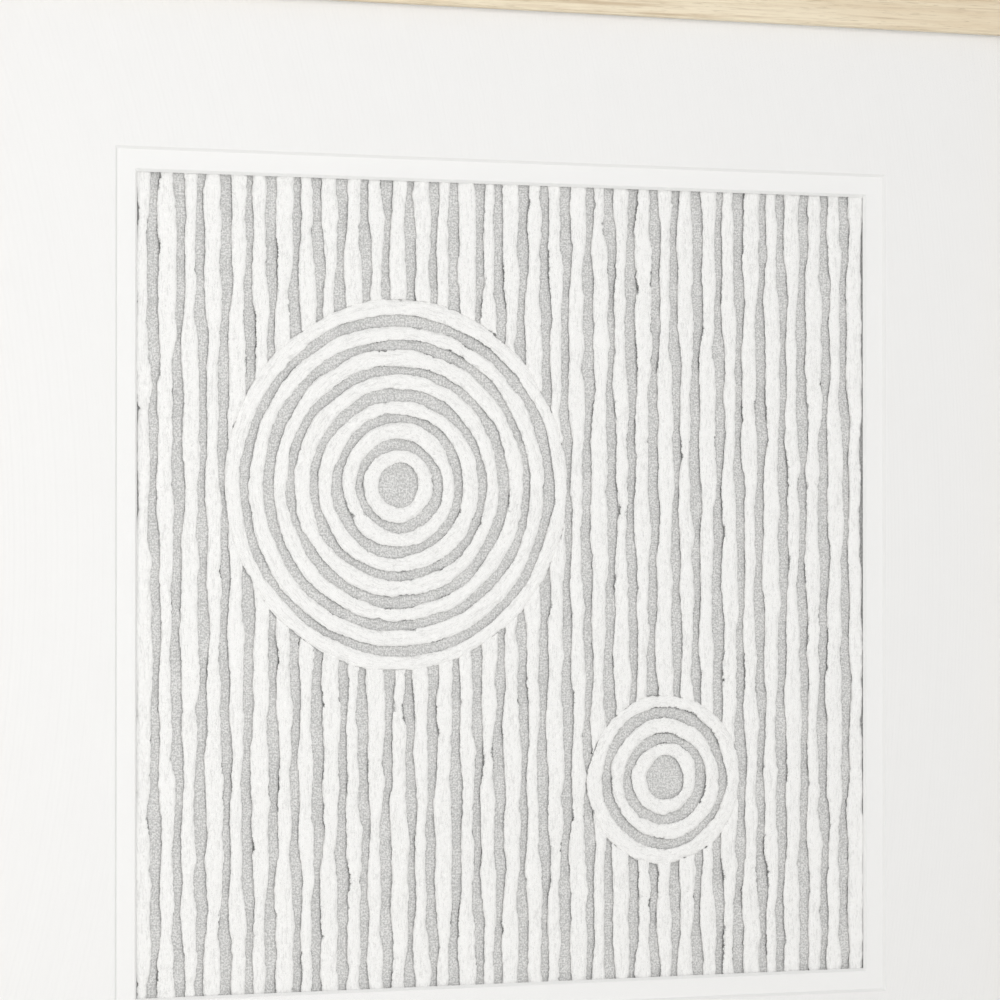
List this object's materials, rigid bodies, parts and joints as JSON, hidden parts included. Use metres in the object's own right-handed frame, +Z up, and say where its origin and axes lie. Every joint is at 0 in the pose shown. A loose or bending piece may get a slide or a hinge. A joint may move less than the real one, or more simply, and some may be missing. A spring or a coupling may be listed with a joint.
{
  "type": "framed paper strip relief",
  "caption": "Square pale wood frame with a double white mat around a relief of torn white paper strips and rings on grey linen.",
  "frame": {"origin": "middle of the frame's footprint, on the underside of the bottom rail", "axes": "+X to the right seen from the front, +Y from the picture's front to the wall, +Z up"},
  "size_m": [0.61, 0.033, 0.61],
  "materials": {
    "ash_wood": "pale natural ash, matt clear oil, fine grain along each rail",
    "clear_pane": "thin clear glazing with low reflection",
    "mat_card": "smooth white mat card with a white bevelled core",
    "spacer_foam": "white foam board, plain",
    "grey_linen": "mid grey plain-weave linen",
    "grey_board": "grey bookbinder's board",
    "hardboard": "brown hardboard, smooth face out",
    "dark_steel": "blackened spring steel",
    "bright_steel": "zinc-plated steel",
    "soft_rubber": "soft grey rubber",
    "paper_pulp": "matt fibrous white handmade paper, torn soft edges"
  },
  "bodies": {
    "root": {"rail_top": "ash_wood", "rail_bottom": "ash_wood", "rail_left": "ash_wood", "rail_right": "ash_wood", "glazing_pane": "clear_pane", "outer_mat": "mat_card", "inner_mat": "mat_card", "spacer_frame": "spacer_foam", "linen_ground": "grey_linen", "mount_board": "grey_board", "backing_board": "hardboard", "retaining_points": "dark_steel", "corner_nails": "bright_steel", "hanger_left": "bright_steel", "hanger_right": "bright_steel", "hanger_screws": "bright_steel", "wall_bumpers": "soft_rubber", "strip_01": "paper_pulp", "strip_02": "paper_pulp", "strip_03": "paper_pulp", "strip_04": "paper_pulp", "strip_05": "paper_pulp", "strip_06": "paper_pulp", "strip_07": "paper_pulp", "strip_08": "paper_pulp", "strip_09": "paper_pulp", "strip_10": "paper_pulp", "strip_11": "paper_pulp", "strip_12": "paper_pulp", "strip_13": "paper_pulp", "strip_14": "paper_pulp", "strip_15": "paper_pulp", "strip_16": "paper_pulp", "strip_17": "paper_pulp", "strip_18": "paper_pulp", "strip_19": "paper_pulp", "strip_20": "paper_pulp", "strip_21": "paper_pulp", "strip_22": "paper_pulp", "strip_23": "paper_pulp", "strip_24": "paper_pulp", "strip_25": "paper_pulp", "strip_26": "paper_pulp", "strip_27": "paper_pulp", "strip_28": "paper_pulp", "strip_29": "paper_pulp", "strip_30": "paper_pulp", "strip_31": "paper_pulp", "strip_32": "paper_pulp", "strip_33": "paper_pulp", "large_ring_1": "paper_pulp", "large_ring_2": "paper_pulp", "large_ring_3": "paper_pulp", "large_ring_4": "paper_pulp", "large_ring_5": "paper_pulp", "large_ring_6": "paper_pulp", "large_ring_7": "paper_pulp", "small_ring_1": "paper_pulp", "small_ring_2": "paper_pulp", "small_ring_3": "paper_pulp"}
  },
  "joints": []
}
